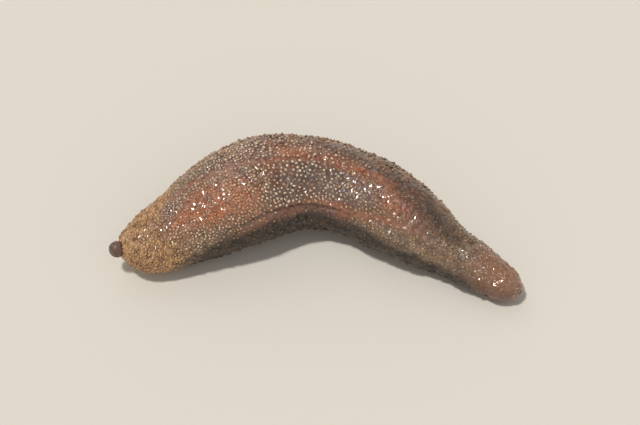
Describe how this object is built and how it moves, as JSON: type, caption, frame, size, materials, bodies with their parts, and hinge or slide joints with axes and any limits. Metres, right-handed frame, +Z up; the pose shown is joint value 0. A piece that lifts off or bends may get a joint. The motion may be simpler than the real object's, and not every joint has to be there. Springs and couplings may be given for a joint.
{
  "type": "sea cucumber",
  "caption": "Life-size still sea cucumber at rest: an arched, tapered body with a puckered mouth knob, low papillae, a flat sole and a round tail.",
  "frame": {"origin": "on the floor, under the middle of the whole body's box", "axes": "+Z up, +X along the body from the head end towards the tail, +Y towards the outer side of the arch"},
  "size_m": [0.1364, 0.0593, 0.0306],
  "materials": {
    "head_skin": "matte tan-brown wrinkled skin",
    "back_skin": "wet, semi-gloss purple-brown skin with cream papillae",
    "tail_skin": "wet, smooth rosy brown skin",
    "mouth_skin": "dark purple-brown puckered skin"
  },
  "bodies": {
    "root": {"mouth_knob": "mouth_skin", "head": "head_skin", "front_trunk": "back_skin", "middle_trunk": "back_skin", "rear_trunk": "back_skin", "tail_neck": "back_skin", "tail": "tail_skin", "vent_disc": "tail_skin"}
  },
  "joints": []
}
